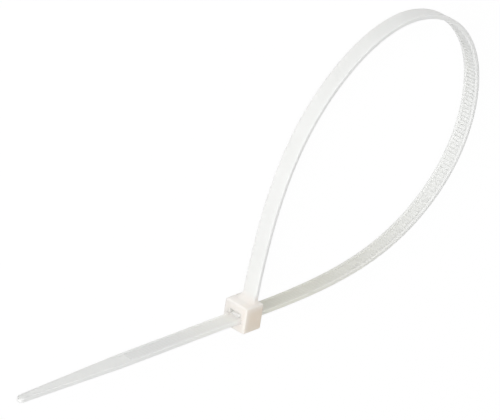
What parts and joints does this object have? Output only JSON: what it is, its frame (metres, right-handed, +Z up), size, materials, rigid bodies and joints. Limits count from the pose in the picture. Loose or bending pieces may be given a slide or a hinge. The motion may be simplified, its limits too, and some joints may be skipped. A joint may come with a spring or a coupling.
{
  "type": "cable tie",
  "caption": "Natural nylon cable tie closed into a loose teardrop loop through its own head, lying on its side, with a straight tapering tail.",
  "frame": {"origin": "on the head's side face that the tie lies on, under the middle of the slot", "axes": "X along the slot, with the tail pointing to -X; Y along the stem, towards the loop; Z up, across the strap's width"},
  "size_m": [0.1718, 0.0826, 0.0082],
  "materials": {
    "natural_nylon": "uncoloured nylon, milky and slightly translucent, with a satin moulded surface"
  },
  "bodies": {
    "root": {"cable_tie": "natural_nylon"}
  },
  "joints": []
}
